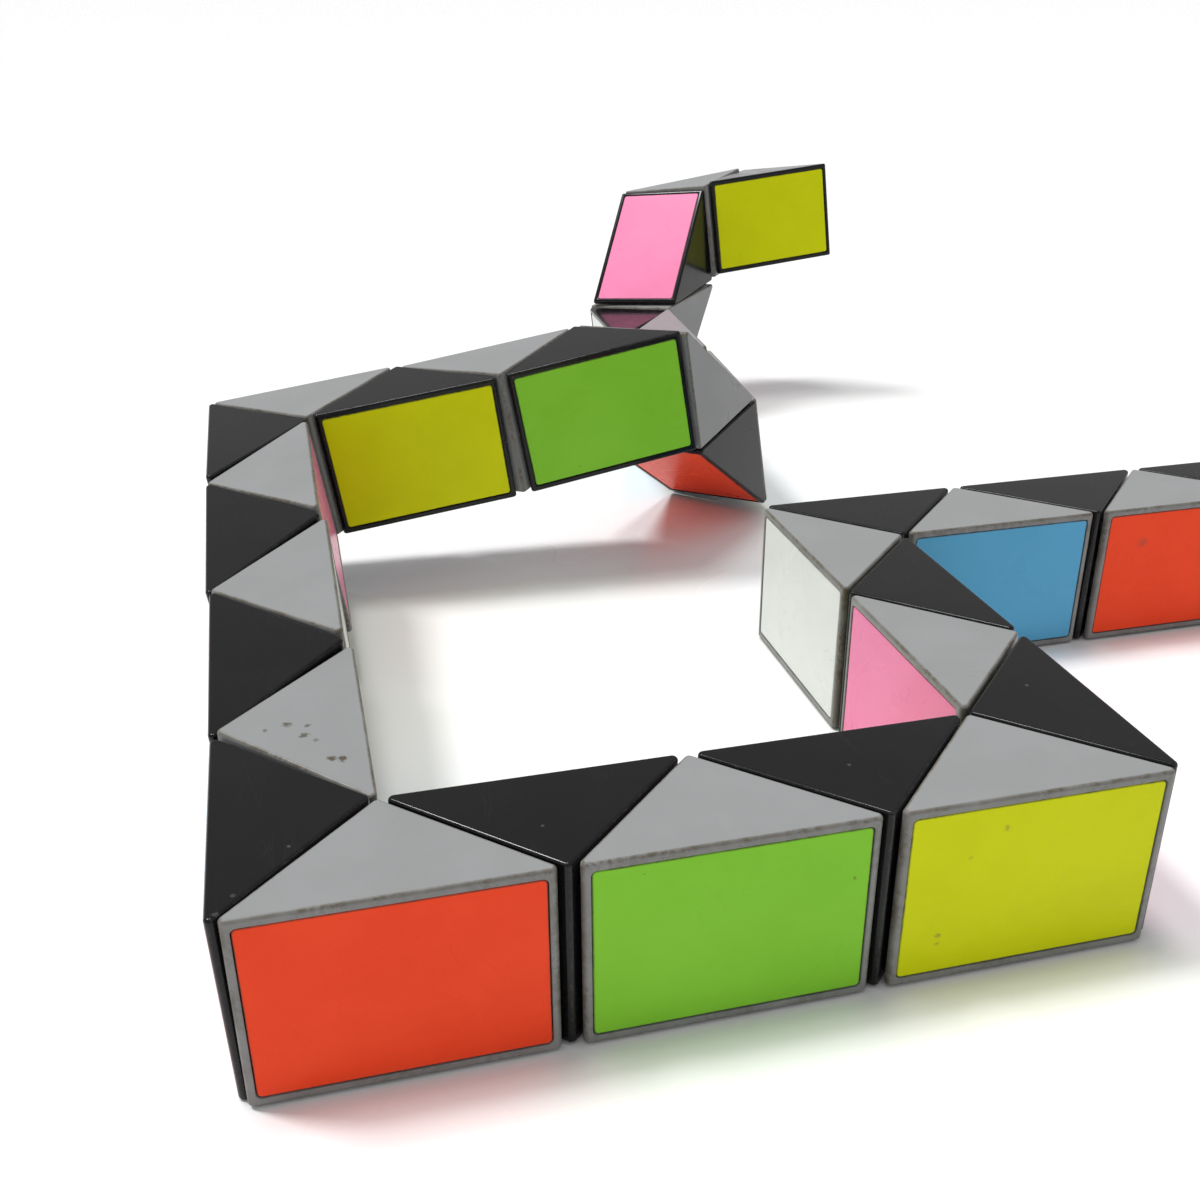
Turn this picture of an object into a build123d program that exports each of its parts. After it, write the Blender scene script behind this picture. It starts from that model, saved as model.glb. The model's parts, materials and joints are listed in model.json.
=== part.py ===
from build123d import *

import os
from math import sqrt

# Twisty snake puzzle: a chain of right-angled wedges, black and grey in turn, each joined to the
# next face to face by a spring-loaded bolt, so that every wedge turns on the one before it.
# Millimetres and degrees. +Z is up, +X runs along the front row, +Y points to the back. The origin
# is under the middle of the whole chain, at the height of its lowest point.

os.makedirs("parts", exist_ok=True)

# ---- driving dimensions ----
LEG = 22.0             # leg of the ideal triangle, from one joint plane to the corner on the other
HEIGHT = 21.0          # prism height, between the two triangular faces
JOINT_GAP = 0.3        # daylight between the square faces of two neighbouring wedges
EDGE_ROUND = 0.6       # fillet on the three long edges
RIM_ROUND = 0.4        # fillet round the two triangular faces
RIM_WALL = 0.9         # top and bottom wall, seen as the frame round the coloured cap
LEG_WALL = 1.8         # wall behind each square face

CAP_WIDTH = 27.3       # opening for the cap, along the long side of the triangle
CAP_THICK = 1.0
CAP_CORNER = 0.6       # corner radius of the opening
CAP_GAP = 0.08         # clearance round the cap
CAP_RECESS = 0.1       # the cap's face sits this far below the frame
CAP_EDGE = 0.12        # chamfer round the cap's face
RIB_LENGTH = 16.0      # two ribs behind the cap grip the top and bottom walls
RIB_THICK = 0.8
RIB_DEPTH = 1.4

BOLT_RADIUS = 1.2
BOLT_FIT = 0.02        # clearance of the bolt's thread in the black wedge's boss
BORE_FIT = 0.05        # running clearance of the bolt in the grey wedge's wall
BOSS_RADIUS = 2.6
BOSS_DEPTH = 6.2       # from the joint plane to the inner end of the boss
BOLT_DEPTH = 6.0       # from the joint plane to the bolt's tip
BOLT_TIP = 0.3         # chamfer at the tip
HEAD_RADIUS = 2.2
HEAD_THICK = 1.0
HEAD_EDGE = 0.15       # chamfer round the head
SLOT_WIDTH = 0.6       # cross slot in the head
SLOT_DEPTH = 0.5
WASHER_RADIUS = 2.4
WASHER_THICK = 0.4
WIRE_RADIUS = 0.2
COIL_RADIUS = 1.75
COIL_PITCH = 0.36      # the spring is pressed almost solid, so its turns are modelled touching
COIL_TURNS = 7
STACK_GAP = 0.05       # play between wall, washer, spring and head

# ---- the shape the chain rests in ----
WEDGES = 36
BASE = 22              # the wedge that lies square at the front left corner
STRAIGHT = 180         # right angles on opposite sides: the chain runs on
FLAT_BEND = 0          # right angles together: the chain turns a corner in its own plane
SIDE_BEND = -90        # a quarter turn out of the plane
BENDS = {2: SIDE_BEND, 4: SIDE_BEND, 8: SIDE_BEND, 10: SIDE_BEND,
         14: FLAT_BEND, 21: FLAT_BEND, 26: FLAT_BEND, 30: FLAT_BEND}
# joints a few degrees off a quarter turn, because the back of the chain is propped up on its fold
LEAN = {1: -3.5, 2: -1.5, 3: 5, 5: 4, 6: -1, 7: 1, 8: -0.5, 9: 1, 10: 1, 11: 1.5, 12: -2,
        14: -1.5, 15: 2, 16: -2.5, 17: -3.5, 18: -2, 19: -5, 20: 3, 21: -1.5}

# ---- worked out from the above ----
room_height = HEIGHT - 2 * RIM_WALL
wall_inside = JOINT_GAP / 2 + LEG_WALL             # from a joint plane to the wall's inner face
seat_depth = CAP_RECESS + CAP_THICK + CAP_GAP
washer_start = wall_inside + STACK_GAP
coil_start = washer_start + WASHER_THICK + STACK_GAP + WIRE_RADIUS
coil_end = coil_start + COIL_PITCH * (COIL_TURNS - 1)
head_start = coil_end + WIRE_RADIUS + STACK_GAP
head_end = head_start + HEAD_THICK
washer_bore = BOLT_RADIUS + BORE_FIT

# A wedge's own frame: the middle of its incoming square face, +X into the wedge, +Z along the
# prism. The right angle is at +Y, where the outgoing square face begins.
INCOMING = Plane(origin=(0, 0, 0), x_dir=(0, 0, 1), z_dir=(-1, 0, 0))
OUTGOING = Plane(origin=(LEG / 2, LEG / 2, 0), x_dir=(0, 0, 1), z_dir=(0, 1, 0))
LONG_SIDE = Plane(origin=(LEG / 2, 0, 0), x_dir=(1, 1, 0), z_dir=(1, -1, 0))


def triangle(leg_inset, long_inset):
    """Corners of the wedge's triangle with its legs and its long side moved inwards."""
    slope_inset = long_inset * sqrt(2)
    return [(leg_inset, leg_inset - LEG / 2 + slope_inset),
            (leg_inset, LEG / 2 - leg_inset),
            (LEG - leg_inset - slope_inset, LEG / 2 - leg_inset)]


def make_casing(joint_faces, is_black):
    """The hollow moulding of one wedge, open on its long side, with a bore at each joint."""
    with BuildPart() as casing:
        with BuildSketch(Plane.XY.offset(-HEIGHT / 2)):
            with BuildLine():
                Polyline(*triangle(JOINT_GAP / 2, 0), close=True)
            make_face()
        extrude(amount=HEIGHT)
        fillet(casing.edges().filter_by(Axis.Z), EDGE_ROUND)
        fillet(casing.faces().filter_by(Axis.Z).edges(), RIM_ROUND)
        # the room inside, and the shallow seat that the cap is pressed into
        with BuildSketch(Plane.XY.offset(-room_height / 2)):
            with BuildLine():
                Polyline(*triangle(wall_inside, seat_depth), close=True)
            make_face()
        extrude(amount=room_height, mode=Mode.SUBTRACT)
        with BuildSketch(LONG_SIDE):
            RectangleRounded(CAP_WIDTH, room_height, CAP_CORNER)
        extrude(amount=-seat_depth, mode=Mode.SUBTRACT)
        for face in joint_faces:
            if is_black:
                with BuildSketch(face.offset(-BOSS_DEPTH)):
                    Circle(BOSS_RADIUS)
                extrude(amount=BOSS_DEPTH - JOINT_GAP)
            with BuildSketch(face):
                Circle(BOLT_RADIUS + (BOLT_FIT if is_black else BORE_FIT))
            extrude(amount=-BOSS_DEPTH - STACK_GAP, mode=Mode.SUBTRACT)
    return casing.part


def make_cap():
    """The coloured plate that closes a wedge, with the two ribs that hold it in."""
    with BuildPart() as cap:
        with BuildSketch(LONG_SIDE.offset(-CAP_RECESS)):
            RectangleRounded(CAP_WIDTH - 2 * CAP_GAP, room_height - 2 * CAP_GAP, CAP_CORNER - CAP_GAP)
        extrude(amount=-CAP_THICK)
        plate_faces = cap.faces().filter_by(LONG_SIDE).sort_by(Axis(LONG_SIDE.origin, LONG_SIDE.z_dir))
        chamfer(plate_faces[-1].edges(), CAP_EDGE)
        rib_middle = room_height / 2 - CAP_GAP - RIB_THICK / 2
        with BuildSketch(LONG_SIDE.offset(-CAP_RECESS - CAP_THICK)):
            with Locations((0, rib_middle), (0, -rib_middle)):
                Rectangle(RIB_LENGTH, RIB_THICK)
        extrude(amount=-RIB_DEPTH)
    return cap.part


def make_pivots(joint_faces):
    """Bolt, washer and spring for each joint of a black wedge; the heads lie in the grey ones."""
    with BuildPart() as pivots:
        for face in joint_faces:
            # half sections: first coordinate along the joint's axis, second outwards from it
            with BuildSketch(Plane(origin=face.origin, x_dir=face.z_dir, z_dir=face.x_dir)):
                with BuildLine():
                    Polyline((-BOLT_DEPTH, 0), (-BOLT_DEPTH, BOLT_RADIUS - BOLT_TIP),
                             (-BOLT_DEPTH + BOLT_TIP, BOLT_RADIUS), (head_start, BOLT_RADIUS),
                             (head_start, HEAD_RADIUS), (head_end - HEAD_EDGE, HEAD_RADIUS),
                             (head_end, HEAD_RADIUS - HEAD_EDGE), (head_end, 0), close=True)
                make_face()
                with Locations((washer_start + WASHER_THICK / 2, (WASHER_RADIUS + washer_bore) / 2)):
                    Rectangle(WASHER_THICK, WASHER_RADIUS - washer_bore)
                with Locations(*[(coil_start + COIL_PITCH * turn, COIL_RADIUS) for turn in range(COIL_TURNS)]):
                    Circle(WIRE_RADIUS)
            revolve(axis=Axis(face.origin, face.z_dir))
            with BuildSketch(face.offset(head_end - SLOT_DEPTH)):
                Rectangle(2 * BOLT_RADIUS, SLOT_WIDTH)
                Rectangle(SLOT_WIDTH, 2 * BOLT_RADIUS)
            extrude(amount=SLOT_DEPTH, mode=Mode.SUBTRACT)
    return pivots.part


def chain_places():
    """Where every wedge lies, keyed by its number, with the base wedge square to the axes."""
    step = Location((LEG / 2, LEG / 2, 0), (0, 0, 90))
    twist = {}
    for joint in range(1, WEDGES):
        twist[joint] = Location((0, 0, 0), (BENDS.get(joint, STRAIGHT) + LEAN.get(joint, 0), 0, 0))
    places = {BASE: Location((0, 0, 0), (0, 0, -45))}
    for joint in range(BASE, WEDGES):
        places[joint + 1] = places[joint] * step * twist[joint]
    for joint in range(BASE - 1, 0, -1):
        places[joint] = places[joint + 1] * twist[joint].inverse() * step.inverse()
    return places


def joints_of(number):
    """The square faces of a wedge that carry a joint: the two end wedges have one each."""
    faces = []
    if number > 1:
        faces.append(INCOMING)
    if number < WEDGES:
        faces.append(OUTGOING)
    return faces


# ---- one of each kind of moulding ----
cap = make_cap()
casings = {}
for number in (1, 2, 3, WEDGES):
    casings[number] = make_casing(joints_of(number), is_black=number % 2 == 1)


def casing_of(number):
    """The finished casing for a wedge of the chain: the ends, or the black or grey middle kind."""
    return casings.get(number) or casings[3 if number % 2 else 2]


# ---- stand the chain on its lowest point, centred on the origin ----
places = chain_places()
boxes = [casing_of(number).moved(places[number]).bounding_box() for number in places]
low = [min(getattr(box.min, axis) for box in boxes) for axis in "XYZ"]
high = [max(getattr(box.max, axis) for box in boxes) for axis in "XYZ"]
to_origin = Location((-(low[0] + high[0]) / 2, -(low[1] + high[1]) / 2, -low[2]))
places = {number: to_origin * places[number] for number in sorted(places)}

# ---- the wedges: a casing and its cap, two separate pieces each ----
for number, place in places.items():
    with BuildPart() as wedge:
        add(casing_of(number).moved(place))
        add(cap.moved(place))
    wedge.part.label = f"wedge_{number:02d}"
    export_step(wedge.part, f"parts/{wedge.part.label}.step")

# ---- the hardware: bolts, washers and springs turn with the black wedge they are screwed into ----
for number in range(1, WEDGES, 2):
    with BuildPart() as pivot_set:
        add(make_pivots(joints_of(number)).moved(places[number]))
    pivot_set.part.label = f"pivot_set_{number:02d}"
    export_step(pivot_set.part, f"parts/{pivot_set.part.label}.step")

print("size", [round(b - a, 2) for a, b in zip(low, high)])
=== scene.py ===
"""Looks of the twisty snake puzzle: moulded casings, coloured caps, steel pivots, floor, light, camera."""
import json
import math

import bmesh
import bpy
from mathutils import Matrix, Vector


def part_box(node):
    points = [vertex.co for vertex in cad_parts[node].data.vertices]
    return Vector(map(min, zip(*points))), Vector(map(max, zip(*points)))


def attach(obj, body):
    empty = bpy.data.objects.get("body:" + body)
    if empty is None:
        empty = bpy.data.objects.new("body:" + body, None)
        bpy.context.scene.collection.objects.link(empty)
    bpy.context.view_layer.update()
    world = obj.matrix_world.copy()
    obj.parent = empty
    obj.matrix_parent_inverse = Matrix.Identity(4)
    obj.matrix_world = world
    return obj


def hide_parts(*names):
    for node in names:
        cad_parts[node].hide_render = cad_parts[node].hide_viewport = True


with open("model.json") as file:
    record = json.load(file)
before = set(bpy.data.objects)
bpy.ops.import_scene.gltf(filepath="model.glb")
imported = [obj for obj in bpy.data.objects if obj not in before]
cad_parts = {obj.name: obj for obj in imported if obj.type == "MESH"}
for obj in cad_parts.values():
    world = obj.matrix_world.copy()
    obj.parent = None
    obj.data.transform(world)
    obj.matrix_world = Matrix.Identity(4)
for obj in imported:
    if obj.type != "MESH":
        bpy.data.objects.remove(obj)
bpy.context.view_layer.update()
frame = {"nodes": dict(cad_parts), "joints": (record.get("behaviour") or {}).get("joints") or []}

MM = 0.001
ROOT_TWO = math.sqrt(2)
NODES = frame["nodes"]
JOINTS = {joint["name"]: joint for joint in frame["joints"]}
WEDGES = sum(name.startswith("wedge_") for name in NODES)
BASE = 22               # the wedge that lies square to the axes, at the front left corner


# ---- where each wedge lies, from the frame's joints ----
def joint_after(number):
    """The joint between a wedge and the next one."""
    return JOINTS[f"turn_{number:02d}_{number + 1:02d}"]


def centre_of(joint):
    """Where a joint is, in the part's frame."""
    return Vector(joint["pos_m"])


def middle_of(node):
    """The middle of a node's surface."""
    polygons = NODES[node].data.polygons
    total = sum(polygon.area for polygon in polygons)
    return sum((polygon.center * polygon.area for polygon in polygons), Vector()) / total


def squared_up(node, axis, towards):
    """The direction square to the axis, along the node's flat faces, that points most towards."""
    flat = [polygon for polygon in NODES[node].data.polygons if abs(polygon.normal.dot(axis)) < FLAT]
    normal = max(flat, key=lambda polygon: polygon.area).normal
    choices = [normal, -normal, axis.cross(normal), -axis.cross(normal)]
    return max(choices, key=lambda choice: choice.dot(towards)).normalized()


def pointing(axis, towards):
    """The axis, turned round if need be to point the same way as towards."""
    axis = Vector(axis).normalized()
    return axis if axis.dot(towards) > 0 else -axis


def wedge_matrix(number):
    """A wedge's own frame: the middle of its incoming square face, +X inwards, +Z along the prism."""
    node = f"wedge_{number:02d}"
    if number == 1:
        after = joint_after(number)
        across = centre_of(after) - middle_of(node)
        y = pointing(after["axis"], across)
        x = squared_up(node, y, across)
        origin = centre_of(after) - (x + y) * LEG / 2
    elif number == WEDGES:
        before = joint_after(number - 1)
        origin = centre_of(before)
        across = middle_of(node) - origin
        x = pointing(before["axis"], across)
        y = squared_up(node, x, across)
    else:
        origin = centre_of(joint_after(number - 1))
        across = centre_of(joint_after(number)) - origin
        x = pointing(joint_after(number - 1)["axis"], across)
        y = pointing(joint_after(number)["axis"], across)
    z = x.cross(y).normalized()
    rotation = Matrix((x, z.cross(x), z)).transposed().to_4x4()
    return Matrix.Translation(origin) @ rotation


# ---- sizes: the frame's where it has them, then the mouldings' own ----
base_low, base_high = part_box(f"wedge_{BASE:02d}")
LEG = (centre_of(joint_after(BASE)) - centre_of(joint_after(BASE - 1))).length * ROOT_TWO
HEIGHT = base_high.z - base_low.z
JOINT_GAP = 0.3 * MM
EDGE_ROUND = 0.6 * MM   # the three long edges
RIM_ROUND = 0.4 * MM    # round both triangular faces
RIM_WALL = 0.9 * MM     # the casing above and below the cap
LEG_WALL = 1.8 * MM
CAP_WIDTH = 27.3 * MM   # the opening for the cap
CAP_CORNER = 0.6 * MM
CAP_GAP = 0.08 * MM
CAP_RECESS = 0.1 * MM
CAP_THICK = 1.0 * MM
CAP_EDGE = 0.2 * MM     # rounding of the cap's face
MOUTH_ROUND = 0.1 * MM  # rounding of the casing round the cap
RIB_LENGTH = 16 * MM
RIB_THICK = 0.8 * MM
RIB_DEPTH = 1.4 * MM
BORE_RADIUS = 1.25 * MM
BORE_ROUND = 0.15 * MM
BOSS_RADIUS = 2.6 * MM
BOSS_DEPTH = 6.2 * MM
CORNER_STEPS = 8        # steps of each rounding
RIM_STEPS = 6
MOUTH_STEPS = 4
BORE_STEPS = 32
SHARP_ANGLE = 40        # degrees: a sharper fold is drawn as an edge
FLAT = 1e-3             # how far off square a flat face's normal may be
FRAME_DIRT_AND_SHADE = 0.35       # how much the frame round a cap is darkened with dirt haze, between untouched 0 and edges 1: partly dirt from handling, partly painted shade of these side faces

ROOM_HALF = HEIGHT / 2 - RIM_WALL                   # half the room's height, and the opening's
WALL_INSIDE = JOINT_GAP / 2 + LEG_WALL              # from a joint plane to the wall's inner face
SEAT_DEPTH = CAP_RECESS + CAP_THICK + CAP_GAP
ROOM_REACH = (LEG / 2 - WALL_INSIDE) * ROOT_TWO - SEAT_DEPTH   # half the room's width at the seat


# ---- mesh building ----
def rounded_outline(corners, radius, inset=0.0, steps=CORNER_STEPS):
    """A closed outline, anticlockwise, with every corner an arc of the same number of points.

    An inset moves the outline inwards and an outset (below zero) outwards, round the same centres.
    """
    points = []
    for index, corner in enumerate(corners):
        arriving = (corner - corners[index - 1]).normalized()
        leaving = (corners[(index + 1) % len(corners)] - corner).normalized()
        turn = arriving.angle(leaving)
        centre = corner + (leaving - arriving).normalized() * radius / math.cos(turn / 2)
        start = math.atan2(-arriving.x, arriving.y)
        for step in range(steps + 1):
            angle = start + turn * step / steps
            points.append(centre + Vector((math.cos(angle), math.sin(angle))) * (radius - inset))
    return points


def rounded_box(half_width, half_height, radius, inset, stops):
    """A rounded rectangle's outline with two more points on its lower and upper sides, at +-stops."""
    corners = [Vector((x * half_width, y * half_height)) for x, y in ((-1, -1), (1, -1), (1, 1), (-1, 1))]
    points = rounded_outline(corners, radius, inset)
    arc = CORNER_STEPS + 1
    side = half_height - inset
    lower = [Vector((-stops, -side)), Vector((stops, -side))]
    upper = [Vector((stops, side)), Vector((-stops, side))]
    return points[:arc] + lower + points[arc:3 * arc] + upper + points[3 * arc:]


# places in such an outline of the four added points, and of the points between them
LOWER_STOPS = (CORNER_STEPS + 1, CORNER_STEPS + 2)
UPPER_STOPS = (3 * CORNER_STEPS + 5, 3 * CORNER_STEPS + 6)


def on_long_side(along, up, depth):
    """A point of the long side: along it, up the prism, and inwards from it."""
    return Vector((LEG / 2 + (along - depth) / ROOT_TWO, (along + depth) / ROOT_TWO, up))


def on_incoming(radius, angle, depth):
    """A point round the incoming joint's axis, and inwards from its plane."""
    return Vector((depth, radius * math.cos(angle), radius * math.sin(angle)))


def on_outgoing(radius, angle, depth):
    """A point round the outgoing joint's axis, and inwards from its plane."""
    return Vector((LEG / 2 + radius * math.cos(angle), LEG / 2 - depth, radius * math.sin(angle)))


def new_shape():
    """An empty mesh in the making. Its vertices know how exposed they are to rubbing, 0 to 1; on the frame
    round a cap this value also carries painted shade.
    """
    shape = bmesh.new()
    shape.verts.layers.float.new("wear_and_shade")
    return shape


def add_ring(shape, points, wear_and_shade=0.0):
    """A ring of new vertices. Their wear, which on the frame round a cap also carries painted shade, is one
    value, or a list with one for each point.
    """
    layer = shape.verts.layers.float["wear_and_shade"]
    ring = [shape.verts.new(point) for point in points]
    for index, vert in enumerate(ring):
        vert[layer] = wear_and_shade[index] if isinstance(wear_and_shade, list) else wear_and_shade
    return ring


def join_rings(shape, rings, leave_out=()):
    """Joins each ring of vertices to the next with four-sided faces."""
    for first, second in zip(rings, rings[1:]):
        for index in range(len(first)):
            if index not in leave_out:
                after = (index + 1) % len(first)
                shape.faces.new((first[index], first[after], second[after], second[index]))


def fill_between(shape, *loops):
    """Fills a flat face that has an outer loop and may have holes."""
    edges = set()
    for loop in loops:
        for first, second in zip(loop, loop[1:] + loop[:1]):
            edges.add(shape.edges.get((first, second)) or shape.edges.new((first, second)))
    bmesh.ops.triangle_fill(shape, use_beauty=True, use_dissolve=False, edges=list(edges))


def round_off(radius, steps):
    """A quarter round, from the level face to the side, in steps of (inset, drop, wear)."""
    for step in range(steps + 1):
        angle = math.pi / 2 * step / steps
        yield radius * (1 - math.sin(angle)), radius * (1 - math.cos(angle)), math.sin(2 * angle)


def finished(shape, name):
    """The mesh of a shape, with its faces turned outwards and smooth but for its sharp folds."""
    bmesh.ops.recalc_face_normals(shape, faces=shape.faces)
    for face in shape.faces:
        face.smooth = True
    mesh = bpy.data.meshes.new(name)
    shape.to_mesh(mesh)
    shape.free()
    mesh.set_sharp_from_angle(angle=math.radians(SHARP_ANGLE))
    return mesh


def bore(shape, face, black):
    """The rings of a bore through a square face's wall, and of the boss behind it in a black wedge."""
    place = on_incoming if face == "incoming" else on_outgoing
    profile = [(BORE_RADIUS + inset, JOINT_GAP / 2 + drop)
               for inset, drop, _ in round_off(BORE_ROUND, MOUTH_STEPS)]
    if black:
        profile += [(BORE_RADIUS, BOSS_DEPTH), (BOSS_RADIUS, BOSS_DEPTH), (BOSS_RADIUS, WALL_INSIDE)]
    else:
        profile += [(BORE_RADIUS, WALL_INSIDE)]
    angles = [2 * math.pi * step / BORE_STEPS for step in range(BORE_STEPS)]
    rings = []
    for radius, depth in profile:
        rings.append(add_ring(shape, [place(radius, angle, depth) for angle in angles]))
    join_rings(shape, rings)
    return rings


def casing_shape(black, open_faces):
    """The hollow moulding of one wedge: rounded outside, seat and room for the cap, bores, bosses."""
    shape = new_shape()
    gap = JOINT_GAP / 2
    corners = [Vector((gap, gap - LEG / 2)), Vector((LEG - gap, LEG / 2 - gap)),
               Vector((gap, LEG / 2 - gap))]
    arc = CORNER_STEPS + 1
    corner_wear_and_shade = [math.sin(math.pi * (index % arc) / CORNER_STEPS) for index in range(3 * arc)]
    # the ends of the long side take the frame's value, whose dirt haze is partly painted shade
    corner_wear_and_shade[CORNER_STEPS] = corner_wear_and_shade[arc] = FRAME_DIRT_AND_SHADE
    sides = {}
    for side in (-1, 1):
        sides[side] = []
        for inset, drop, rim_wear in round_off(RIM_ROUND, RIM_STEPS):
            points = [point.to_3d() for point in rounded_outline(corners, EDGE_ROUND, inset)]
            for point in points:
                point.z = side * (HEIGHT / 2 - drop)
            exposed_and_shaded = [max(rim_wear, wear_and_shade) if drop > 0 else 0.0 for wear_and_shade in corner_wear_and_shade]
            sides[side].append(add_ring(shape, points, exposed_and_shaded))
        join_rings(shape, sides[side])
        shape.faces.new(sides[side][0])
    low, high = sides[-1][-1], sides[1][-1]
    ends = [(corner * arc + CORNER_STEPS, (corner + 1) * arc % len(low)) for corner in range(3)]
    join_rings(shape, [low, high], leave_out=[start for start, _ in ends])
    long_wall, outgoing_wall, incoming_wall = ([low[a], low[b], high[b], high[a]] for a, b in ends)

    # the long side: a rounded mouth, the seat that the cap is pressed into, and the room behind it
    rings = []
    profile = [(-inset, drop, wear_and_shade / 2) for inset, drop, wear_and_shade in round_off(MOUTH_ROUND, MOUTH_STEPS)]
    for inset, depth, wear_and_shade in profile + [(0, SEAT_DEPTH, 0)]:
        outline = rounded_box(CAP_WIDTH / 2, ROOM_HALF, CAP_CORNER, inset, ROOM_REACH)
        # the frame round the cap takes a set value, whose dirt haze is partly painted shade of this side
        # face
        wear_and_shade = max(wear_and_shade, FRAME_DIRT_AND_SHADE)
        rings.append(add_ring(shape, [on_long_side(*point, depth) for point in outline], wear_and_shade))
    fill_between(shape, long_wall, rings[0])
    join_rings(shape, rings)
    seat = rings[-1]
    mouth = [seat[index] for index in LOWER_STOPS + UPPER_STOPS]
    shape.faces.new(seat[LOWER_STOPS[1]:UPPER_STOPS[0] + 1])
    shape.faces.new(seat[UPPER_STOPS[1]:] + seat[:LOWER_STOPS[0] + 1])
    inner = [Vector((WALL_INSIDE, LEG / 2 - WALL_INSIDE, side * ROOM_HALF)) for side in (-1, 1)]
    floor_point, roof_point = add_ring(shape, inner)
    shape.faces.new((mouth[0], mouth[1], floor_point))
    shape.faces.new((mouth[2], mouth[3], roof_point))
    rooms = {"incoming": [mouth[0], floor_point, roof_point, mouth[3]],
             "outgoing": [mouth[1], floor_point, roof_point, mouth[2]]}

    # the two square faces, bored through where they carry a joint
    walls = {"incoming": incoming_wall, "outgoing": outgoing_wall}
    for face in walls:
        if face in open_faces:
            rings = bore(shape, face, black)
            fill_between(shape, walls[face], rings[0])
            fill_between(shape, rooms[face], rings[-1])
        else:
            shape.faces.new(walls[face])
            shape.faces.new(rooms[face])
    return shape


def cap_shape():
    """The coloured plate with its rounded face edge and the two ribs that grip the casing."""
    shape = new_shape()
    half_width, half_height = CAP_WIDTH / 2 - CAP_GAP, ROOM_HALF - CAP_GAP
    profile = [(inset, CAP_RECESS + drop, 1 - inset / CAP_EDGE)
               for inset, drop, _ in round_off(CAP_EDGE, MOUTH_STEPS)]
    rings = []
    for inset, depth, wear_and_shade in profile + [(0, CAP_RECESS + CAP_THICK, 1)]:
        outline = rounded_box(half_width, half_height, CAP_CORNER - CAP_GAP, inset, RIB_LENGTH / 2)
        rings.append(add_ring(shape, [on_long_side(*point, depth) for point in outline], wear_and_shade))
    join_rings(shape, rings)
    shape.faces.new(rings[0])
    back = rings[-1]
    outline = list(back)
    for side, stops in ((1, UPPER_STOPS), (-1, LOWER_STOPS)):
        outer = [back[index] for index in stops]
        reach = [side * RIB_LENGTH / 2, -side * RIB_LENGTH / 2]
        up = side * (half_height - RIB_THICK)
        root_depth, tip_depth = CAP_RECESS + CAP_THICK, CAP_RECESS + CAP_THICK + RIB_DEPTH
        inner = add_ring(shape, [on_long_side(along, up, root_depth) for along in reach])
        wall = side * half_height
        tip = [(reach[0], wall), (reach[1], wall), (reach[1], up), (reach[0], up)]
        tips = add_ring(shape, [on_long_side(along, height, tip_depth) for along, height in tip])
        root = [outer[0], outer[1], inner[1], inner[0]]
        join_rings(shape, [root, tips])
        shape.faces.new(tips)
        outline[stops[0] + 1:stops[0] + 1] = inner
    shape.faces.new(outline)
    return shape


# ---- materials: sizes of what is drawn on the surfaces ----
MOST = (0.3, 0.7)       # the range that most of a noise's values lie in
MOTTLE_SIZE = 9 * MM    # clouds of colour
SMUDGE_SIZE = 14 * MM   # clouds of gloss
NICK_SIZE = 0.8 * MM    # nicks in exposed edges
DIRT_SIZE = 5 * MM      # stretches of an edge with dirt in its nicks
HAZE_AND_SHADE_SIZE = 4 * MM      # thin dirt on exposed faces
PATCH_SIZE = 7 * MM     # patches of scratches
DUST_SIZE = 3.2 * MM    # thin dirt on worn edges, also painted shade on the frames round the caps
BLOT_SIZE = 0.9 * MM    # raggedness of the marks
GRAIN_SIZE = 0.22 * MM  # grain left by the mould
SWELL_SIZE = 6 * MM     # unevenness of the faces
BUMP_DEPTH = 0.01 * MM


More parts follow.
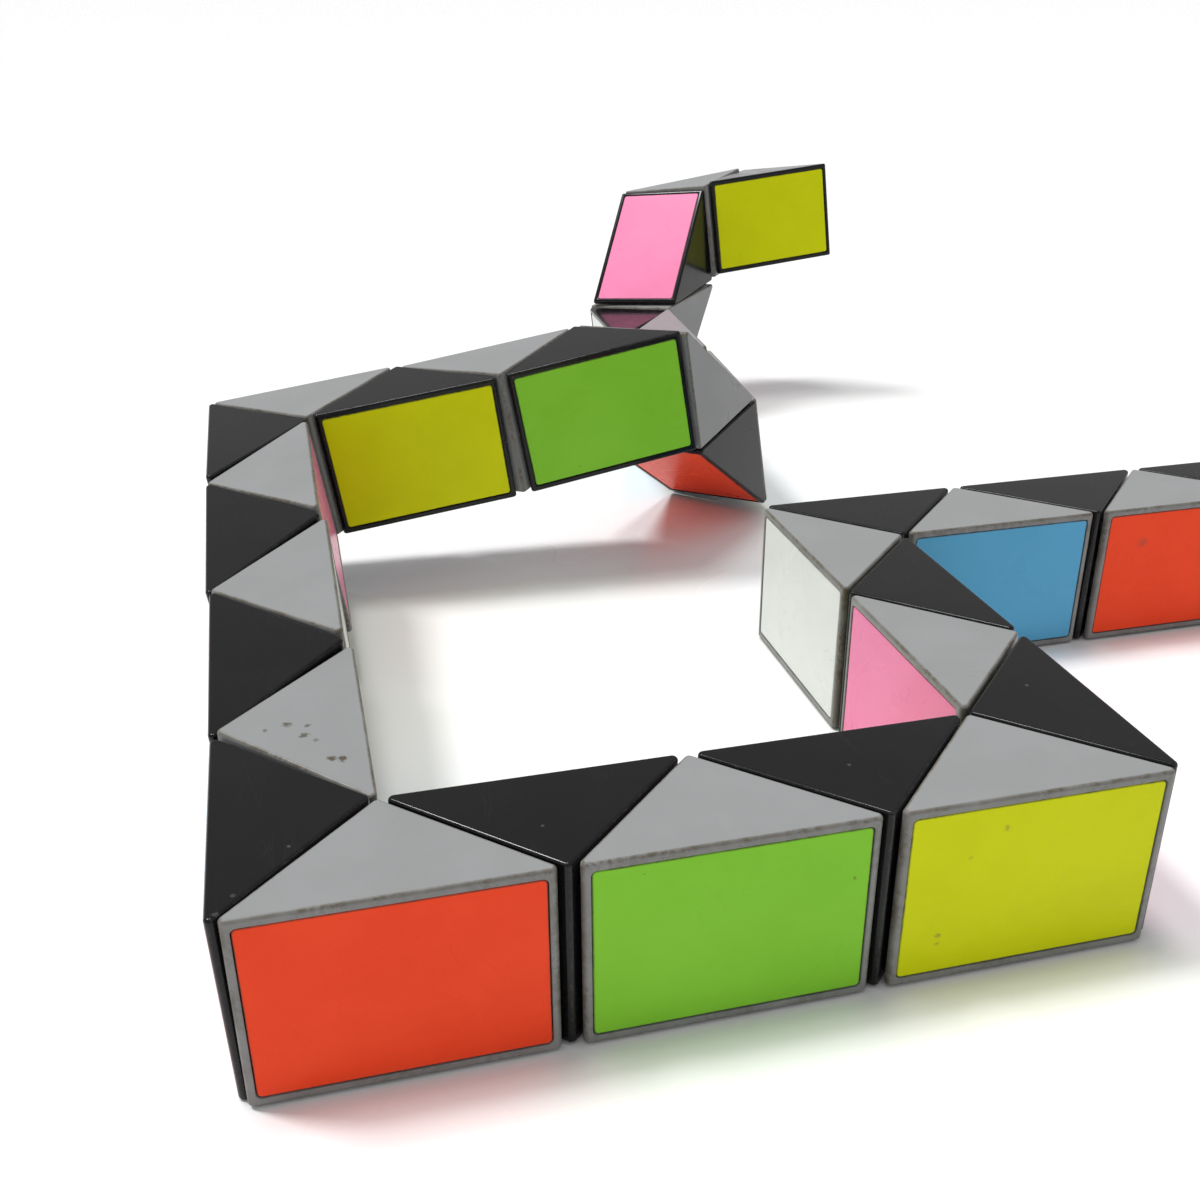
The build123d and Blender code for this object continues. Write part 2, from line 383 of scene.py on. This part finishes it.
class Graph:
    """A material in the making: its nodes, joined by naming sockets as inputs of the next node."""

    def __init__(self, name):
        self.material = bpy.data.materials.new(name)
        self.material.use_nodes = True
        self.tree = self.material.node_tree
        self.shader = self.tree.nodes["Principled BSDF"]
        self.place = self.node("ShaderNodeTexCoord").outputs["Object"]

    def node(self, kind, inputs=None, **settings):
        """A new node with its settings, and its inputs set or joined."""
        made = self.tree.nodes.new(kind)
        for key, value in settings.items():
            setattr(made, key, value)
        for key, value in (inputs or {}).items():
            self.set(made, key, value)
        return made

    def set(self, node, key, value):
        """Joins an output to an input, or sets the input's own value."""
        if isinstance(value, bpy.types.NodeSocket):
            self.tree.links.new(value, node.inputs[key])
        else:
            node.inputs[key].default_value = value

    def finish(self, **inputs):
        """The finished material, with these inputs of its shader, named with _ for each space."""
        for key, value in inputs.items():
            self.set(self.shader, key.replace("_", " "), value)
        return self.material

    def noise(self, size, detail=2.0, roughness=0.5, distortion=0.0, place=None):
        """Noise whose lumps are about this size, in metres."""
        return self.node("ShaderNodeTexNoise",
                         {"Vector": place or self.place, "Scale": 1 / size, "Detail": detail,
                          "Roughness": roughness, "Distortion": distortion}).outputs["Fac"]

    def spread(self, value, low, high, to_low=0.0, to_high=1.0, smooth=True):
        """A value's range low to high, spread over another range and cut off outside it."""
        inputs = {"Value": value, "From Min": low, "From Max": high, "To Min": to_low, "To Max": to_high}
        kind = "SMOOTHSTEP" if smooth else "LINEAR"
        return self.node("ShaderNodeMapRange", inputs, interpolation_type=kind).outputs["Result"]

    def combine(self, first, second, operation="ADD"):
        """Two values, or a value and a number, put through one operation of arithmetic."""
        return self.node("ShaderNodeMath", {0: first, 1: second}, operation=operation).outputs[0]

    def product(self, first, second):
        """Two values, or a value and a number, multiplied."""
        return self.combine(first, second, "MULTIPLY")

    def blend(self, share, first, second):
        """Colours mixed by share: the first at 0, the second at 1."""
        made = self.node("ShaderNodeMix", data_type="RGBA")
        for key, value in ((0, share), (6, first), (7, second)):
            self.set(made, key, value)
        return made.outputs[2]

    def stretched(self, turn, squeeze):
        """Places with one direction drawn out, for marks that run along it."""
        turned = self.node("ShaderNodeMapping", {"Vector": self.place, "Rotation": turn, "Scale": squeeze})
        return turned.outputs["Vector"]


def scratches(graph, turn, size, width, share):
    """Fine straight rubs in one direction, in patches that cover about a share of the surface."""
    place = graph.stretched(turn, (1.0, 0.06, 1.0))
    cells = graph.node("ShaderNodeTexVoronoi", {"Vector": place, "Scale": 1 / size, "Randomness": 1.0},
                       feature="DISTANCE_TO_EDGE")
    line = graph.spread(cells.outputs["Distance"], 0.0, width, 1.0, 0.0)
    start = 0.62 - 0.4 * share
    patch = graph.spread(graph.noise(PATCH_SIZE, 3.0, 0.6), start, start + 0.1)
    return graph.product(line, patch)


def specks(graph, size, radius, share):
    """Round dots scattered sparsely: dust and small pits."""
    cells = graph.node("ShaderNodeTexVoronoi", {"Vector": graph.place, "Scale": 1 / size, "Randomness": 1.0})
    dot = graph.spread(cells.outputs["Distance"], radius * 0.5, radius, 1.0, 0.0)
    chosen = graph.node("ShaderNodeSeparateColor", {"Color": cells.outputs["Color"]}).outputs[0]
    return graph.product(dot, graph.spread(chosen, share - 0.01, share, 1.0, 0.0, smooth=False))


def spots(graph, marks):
    """Ragged blots at given places: each mark is (place in the part's frame, radius, strength)."""
    ragged = graph.noise(BLOT_SIZE, 5.0, 0.75)
    total = None
    for place, radius, strength in marks:
        away = graph.node("ShaderNodeVectorMath", {0: graph.place, 1: place}, operation="DISTANCE")
        reach = graph.combine(graph.product(ragged, 1.6 * radius), 0.25 * radius, "SUBTRACT")
        inside = graph.combine(reach, away.outputs["Value"], "SUBTRACT")
        mask = graph.spread(inside, 0.0, 0.35 * radius, 0.0, strength)
        total = mask if total is None else graph.combine(total, mask, "MAXIMUM")
    return total


def moulded(name, deep, pale, rubbed, rough, rub_rough, specular, scuffs=1.0, grime_and_shade=None, coat=0.0,
            marks=(), stain=None):
    """Moulded plastic: mottled colour, rubbed edges, fine scratches, dust, a faint mould grain.

    Scuffs scales the scratches and the clouds of gloss, grime is the colour of dirt in and beside
    exposed edges, also laid over the frames round the caps as partly painted shade, and stain is the colour
    of the marks.
    """
    graph = Graph(name)
    wear_and_shade = graph.node("ShaderNodeAttribute", attribute_name="wear_and_shade").outputs["Fac"]
    nicks = graph.noise(NICK_SIZE, 6.0, 0.75)
    rub = graph.spread(graph.product(wear_and_shade, nicks), 0.42, 0.66)
    fine = scratches(graph, (0.0, 0.0, 0.6), 1.6 * MM, 0.018, 0.3)
    cross = scratches(graph, (0.5, 0.3, 2.1), 2.3 * MM, 0.014, 0.2)
    lines = graph.product(graph.combine(fine, cross, "MAXIMUM"), scuffs)
    dust = specks(graph, DUST_SIZE, 0.045, 0.22)

    colour = graph.blend(graph.spread(graph.noise(MOTTLE_SIZE, 3.0, 0.6), *MOST), deep, pale)
    colour = graph.blend(graph.product(rub, 0.55), colour, rubbed)
    colour = graph.blend(graph.product(lines, 0.06), colour, rubbed)
    if grime_and_shade:
        stretches = graph.spread(graph.noise(DIRT_SIZE, 2.0), 0.40, 0.56)
        nick_dirt_and_shade = graph.product(graph.spread(nicks, 0.42, 0.58), stretches)
        colour = graph.blend(graph.product(graph.product(nick_dirt_and_shade, wear_and_shade), 0.9), colour, grime_and_shade)
        # a thin haze of grime where the faces are worn: dirt on the edges, and on the frames round the caps
        # partly painted shade
        haze_and_shade = graph.spread(graph.noise(HAZE_AND_SHADE_SIZE, 3.0, 0.6), 0.25, 0.6, 0.35, 0.7)
        colour = graph.blend(graph.product(haze_and_shade, wear_and_shade), colour, grime_and_shade)
        colour = graph.blend(graph.product(dust, 0.6), colour, grime_and_shade)
    else:
        colour = graph.blend(graph.product(dust, 0.5), colour, rubbed)
    if marks:
        colour = graph.blend(spots(graph, marks), colour, stain)

    smudge = graph.noise(SMUDGE_SIZE, 5.0, 0.62, 1.5)
    roughness = graph.spread(smudge, *MOST, rough - 0.05 * scuffs, rough + 0.07 * scuffs)
    roughness = graph.combine(roughness, graph.product(rub, rub_rough))
    roughness = graph.combine(roughness, graph.product(lines, 0.12))

    grain = graph.product(graph.noise(GRAIN_SIZE, 2.0), 0.25)
    swell = graph.product(graph.noise(SWELL_SIZE, 1.0), 1.5)
    height = graph.combine(graph.combine(grain, swell), graph.product(lines, 0.3), "SUBTRACT")
    bump = graph.node("ShaderNodeBump", {"Height": height, "Strength": 0.08, "Distance": BUMP_DEPTH})
    return graph.finish(Base_Color=colour, Roughness=roughness, Specular_IOR_Level=specular,
                        Coat_Weight=coat, Coat_Roughness=0.06, Normal=bump.outputs["Normal"])


def machined(name):
    """Bright zinc-plated steel with faint turning marks."""
    graph = Graph(name)
    cloud = graph.noise(1.5 * MM, 4.0, 0.6)
    colour = graph.blend(cloud, (0.50, 0.50, 0.48, 1), (0.68, 0.68, 0.66, 1))
    turned = graph.noise(0.12 * MM, 3.0, 0.7)
    bump = graph.node("ShaderNodeBump", {"Height": turned, "Strength": 0.3, "Distance": BUMP_DEPTH})
    return graph.finish(Base_Color=colour, Metallic=1.0, Roughness=graph.spread(cloud, *MOST, 0.22, 0.38),
                        Normal=bump.outputs["Normal"])


CAP_COLOURS = {         # in the order they follow along the chain, two wedges each
    "yellow": ((0.63, 0.68, 0.001, 1), (0.66, 0.71, 0.002, 1)),
    "pink": ((0.86, 0.23, 0.43, 1), (0.88, 0.25, 0.46, 1)),
    "white": ((0.73, 0.76, 0.73, 1), (0.76, 0.79, 0.76, 1)),
    "blue": ((0.103, 0.385, 0.62, 1), (0.110, 0.405, 0.65, 1)),
    "red": ((0.88, 0.064, 0.018, 1), (0.92, 0.072, 0.022, 1)),
    "green": ((0.222, 0.575, 0.034, 1), (0.236, 0.600, 0.040, 1)),
}
# the brown of dirt, also used as painted shade on the frames round the caps
GRIME_AND_SHADE = (0.10, 0.085, 0.06, 1)
STAIN = (0.07, 0.058, 0.03, 1)
SCUFF = (0.09, 0.09, 0.09, 1)
BLACK = dict(deep=(0.0034, 0.0034, 0.0044, 1), pale=(0.0048, 0.0048, 0.0056, 1),
             rubbed=(0.045, 0.045, 0.045, 1), rough=0.22, rub_rough=0.04, specular=0.095, coat=0.31)
GREY = dict(deep=(0.262, 0.268, 0.270, 1), pale=(0.276, 0.283, 0.286, 1),
            rubbed=(0.36, 0.36, 0.35, 1), rough=0.32, rub_rough=0.10, specular=0.2, grime_and_shade=GRIME_AND_SHADE)

# Marks on single wedges, in mm: two places on the face, then radius and strength. On a triangular
# face the places are the wedge's own X and Y, and on a cap they run along it and up it.
TOP, BOTTOM = 1, -1
FACE_MARKS = {
    20: (BOTTOM, ((5.5, 6.0, 1.1, 0.8), (7.5, 5.0, 0.8, 0.7), (8.5, 6.5, 1.2, 0.8), (10.0, 6.5, 0.7, 0.5),
                  (13.5, 8.0, 1.1, 0.9), (14.5, 7.5, 1.2, 0.9), (4.5, 8.0, 0.5, 0.6))),
    21: (TOP, ((10.0, 9.5, 0.4, 0.6), (17.5, 10.0, 0.6, 0.5), (20.0, 10.5, 0.8, 0.5))),
    23: (BOTTOM, ((4.0, 5.5, 0.4, 0.5),)),
    25: (BOTTOM, ((6.0, 4.0, 0.4, 0.5),)),
    27: (TOP, ((9.0, 7.0, 0.5, 0.6),)),
}
CAP_MARKS = {
    24: ((12.0, 4.0, 0.5, 0.6),),
    26: ((-3.5, 7.0, 1.0, 0.5), (-9.5, -5.0, 0.8, 0.5), (-9.5, -6.0, 0.7, 0.4), (-7.0, 4.0, 0.6, 0.2)),
    34: ((-7.5, 5.0, 1.8, 0.35),),
}


def colour_of(number):
    """The name of a wedge's cap colour."""
    return list(CAP_COLOURS)[(number - 1) // 2 % len(CAP_COLOURS)]


def face_marks(numbers):
    """The marks on the triangular faces of these wedges, placed in the part's frame."""
    placed = []
    for number in numbers:
        side, marks = FACE_MARKS[number]
        for x, y, radius, strength in marks:
            place = matrices[number] @ Vector((x * MM, y * MM, side * HEIGHT / 2))
            placed.append((place, radius * MM, strength))
    return placed


def cap_marks(colour):
    """The marks on the caps of this colour, placed in the part's frame."""
    placed = []
    for number, marks in CAP_MARKS.items():
        if colour_of(number) == colour:
            for along, up, radius, strength in marks:
                place = matrices[number] @ on_long_side(along * MM, up * MM, CAP_RECESS)
                placed.append((place, radius * MM, strength))
    return placed


matrices = {number: wedge_matrix(number) for number in range(1, WEDGES + 1)}
plastics = {            # by the name of their slot
    "black_plastic": moulded("black_plastic", **BLACK, marks=face_marks((21, 23, 25, 27)), stain=SCUFF),
    "grey_plastic": moulded("grey_plastic", **GREY, marks=face_marks((20,)), stain=STAIN),
}
steel = machined("steel")
for colour, (deep, pale) in CAP_COLOURS.items():
    plastics[f"{colour}_cap"] = moulded(
        f"{colour}_cap", deep, pale, rubbed=pale, rough=0.28, rub_rough=0.05,
        specular=0.09, scuffs=0.25, grime_and_shade=GRIME_AND_SHADE, marks=cap_marks(colour), stain=GRIME_AND_SHADE)


# ---- the wedges ----
def put(name, mesh, number, slot):
    """A piece in its wedge's place, riding with the wedge and standing for its CAD node."""
    mesh = mesh.copy()
    mesh.name = name
    mesh.transform(matrices[number])
    mesh.materials.append(plastics[slot])
    piece = bpy.data.objects.new(name, mesh)
    bpy.context.scene.collection.objects.link(piece)
    weighted = piece.modifiers.new("weighted_normals", "WEIGHTED_NORMAL")
    weighted.keep_sharp = True
    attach(piece, f"segment_{number:02d}")
    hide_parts(f"wedge_{number:02d}")


def open_faces_of(number):
    """The square faces of a wedge that carry a joint: the two end wedges have one each."""
    if number == 1:
        return ("outgoing",)
    if number == WEDGES:
        return ("incoming",)
    return ("incoming", "outgoing")


cap_mesh = finished(cap_shape(), "cap")
casing_meshes = {}
for number in range(1, WEDGES + 1):
    black = number % 2 == 1
    kind = (black, open_faces_of(number))
    if kind not in casing_meshes:
        casing_meshes[kind] = finished(casing_shape(*kind), "casing")
    put(f"casing_{number:02d}", casing_meshes[kind], number, "black_plastic" if black else "grey_plastic")
    put(f"cap_{number:02d}", cap_mesh, number, f"{colour_of(number)}_cap")

for name, node in NODES.items():
    if name.startswith("pivot_set_"):
        for slot in node.material_slots:
            slot.material = steel

# ---- floor, light and camera ----
FLOOR_HALF = 40.0       # metres
SHEEN_SIZE = 60 * MM    # clouds of gloss on the table
SKY = ((0.0, 0.94), (0.08, 0.88), (0.20, 0.46), (0.32, 0.38),      # sine of the height, brightness
       (0.50, 0.46), (0.75, 0.55), (1.0, 0.60))
SUNS = {                # direction to the light, spread in degrees, strength
    "key": ((-0.42, 0.25, 0.87), 12.0, 1.9),
    "fill": ((-0.10, 0.15, 0.98), 12.0, 0.9),
}
CAMERA_PLACE = Vector((-80.42, -200.49, 91.53)) * MM
CAMERA_HEADING = -13.76     # degrees from +Y
CAMERA_DIP = 25.49          # degrees below level
CAMERA_ROLL = -0.5
LENS = 38.92                # focal length over a sensor of this width, both in mm
SENSOR = 36.0

shape = bmesh.new()
bmesh.ops.create_grid(shape, x_segments=8, y_segments=8, size=FLOOR_HALF)
floor_mesh = bpy.data.meshes.new("floor")
shape.to_mesh(floor_mesh)
shape.free()
floor = bpy.data.objects.new("floor", floor_mesh)
bpy.context.scene.collection.objects.link(floor)
graph = Graph("white_table")
sheen = graph.spread(graph.noise(SHEEN_SIZE, 3.0, 0.5), *MOST, 0.22, 0.30)
floor_mesh.materials.append(
    graph.finish(Base_Color=(0.92, 0.92, 0.92, 1), Specular_IOR_Level=0.22, Roughness=sheen))

world = bpy.data.worlds.new("studio")
bpy.context.scene.world = world
world.use_nodes = True
tree = world.node_tree
up = tree.nodes.new("ShaderNodeTexCoord")
split = tree.nodes.new("ShaderNodeSeparateXYZ")
ramp = tree.nodes.new("ShaderNodeValToRGB")
for position, brightness in SKY[1:-1]:
    ramp.color_ramp.elements.new(position)
for element, (position, brightness) in zip(ramp.color_ramp.elements, SKY):
    element.position = position
    element.color = (brightness, brightness, brightness, 1)
tree.links.new(up.outputs["Generated"], split.inputs[0])
tree.links.new(split.outputs["Z"], ramp.inputs["Fac"])
tree.links.new(ramp.outputs["Color"], tree.nodes["Background"].inputs["Color"])


def add_sun(name, towards, spread, strength):
    """A soft distant light that shines from a direction."""
    data = bpy.data.lights.new(name, "SUN")
    data.angle = math.radians(spread)
    data.energy = strength
    light = bpy.data.objects.new(name, data)
    light.rotation_euler = Vector(towards).to_track_quat("Z", "Y").to_euler()
    bpy.context.scene.collection.objects.link(light)


for name, (towards, spread, strength) in SUNS.items():
    add_sun(name, towards, spread, strength)

# the camera stands low in front of the front left corner and looks along the row to the back
camera_data = bpy.data.cameras.new("camera")
camera_data.lens = LENS
camera_data.sensor_width = SENSOR
camera_data.clip_start = 0.01
camera_data.clip_end = 100.0
camera = bpy.data.objects.new("camera", camera_data)
camera.matrix_world = (
    Matrix.Translation(CAMERA_PLACE)
    @ Matrix.Rotation(math.radians(CAMERA_HEADING), 4, "Z")
    @ Matrix.Rotation(math.radians(90 - CAMERA_DIP), 4, "X")
    @ Matrix.Rotation(math.radians(CAMERA_ROLL), 4, "Z"))
bpy.context.scene.collection.objects.link(camera)
bpy.context.scene.camera = camera
bpy.context.scene.view_settings.view_transform = "Standard"
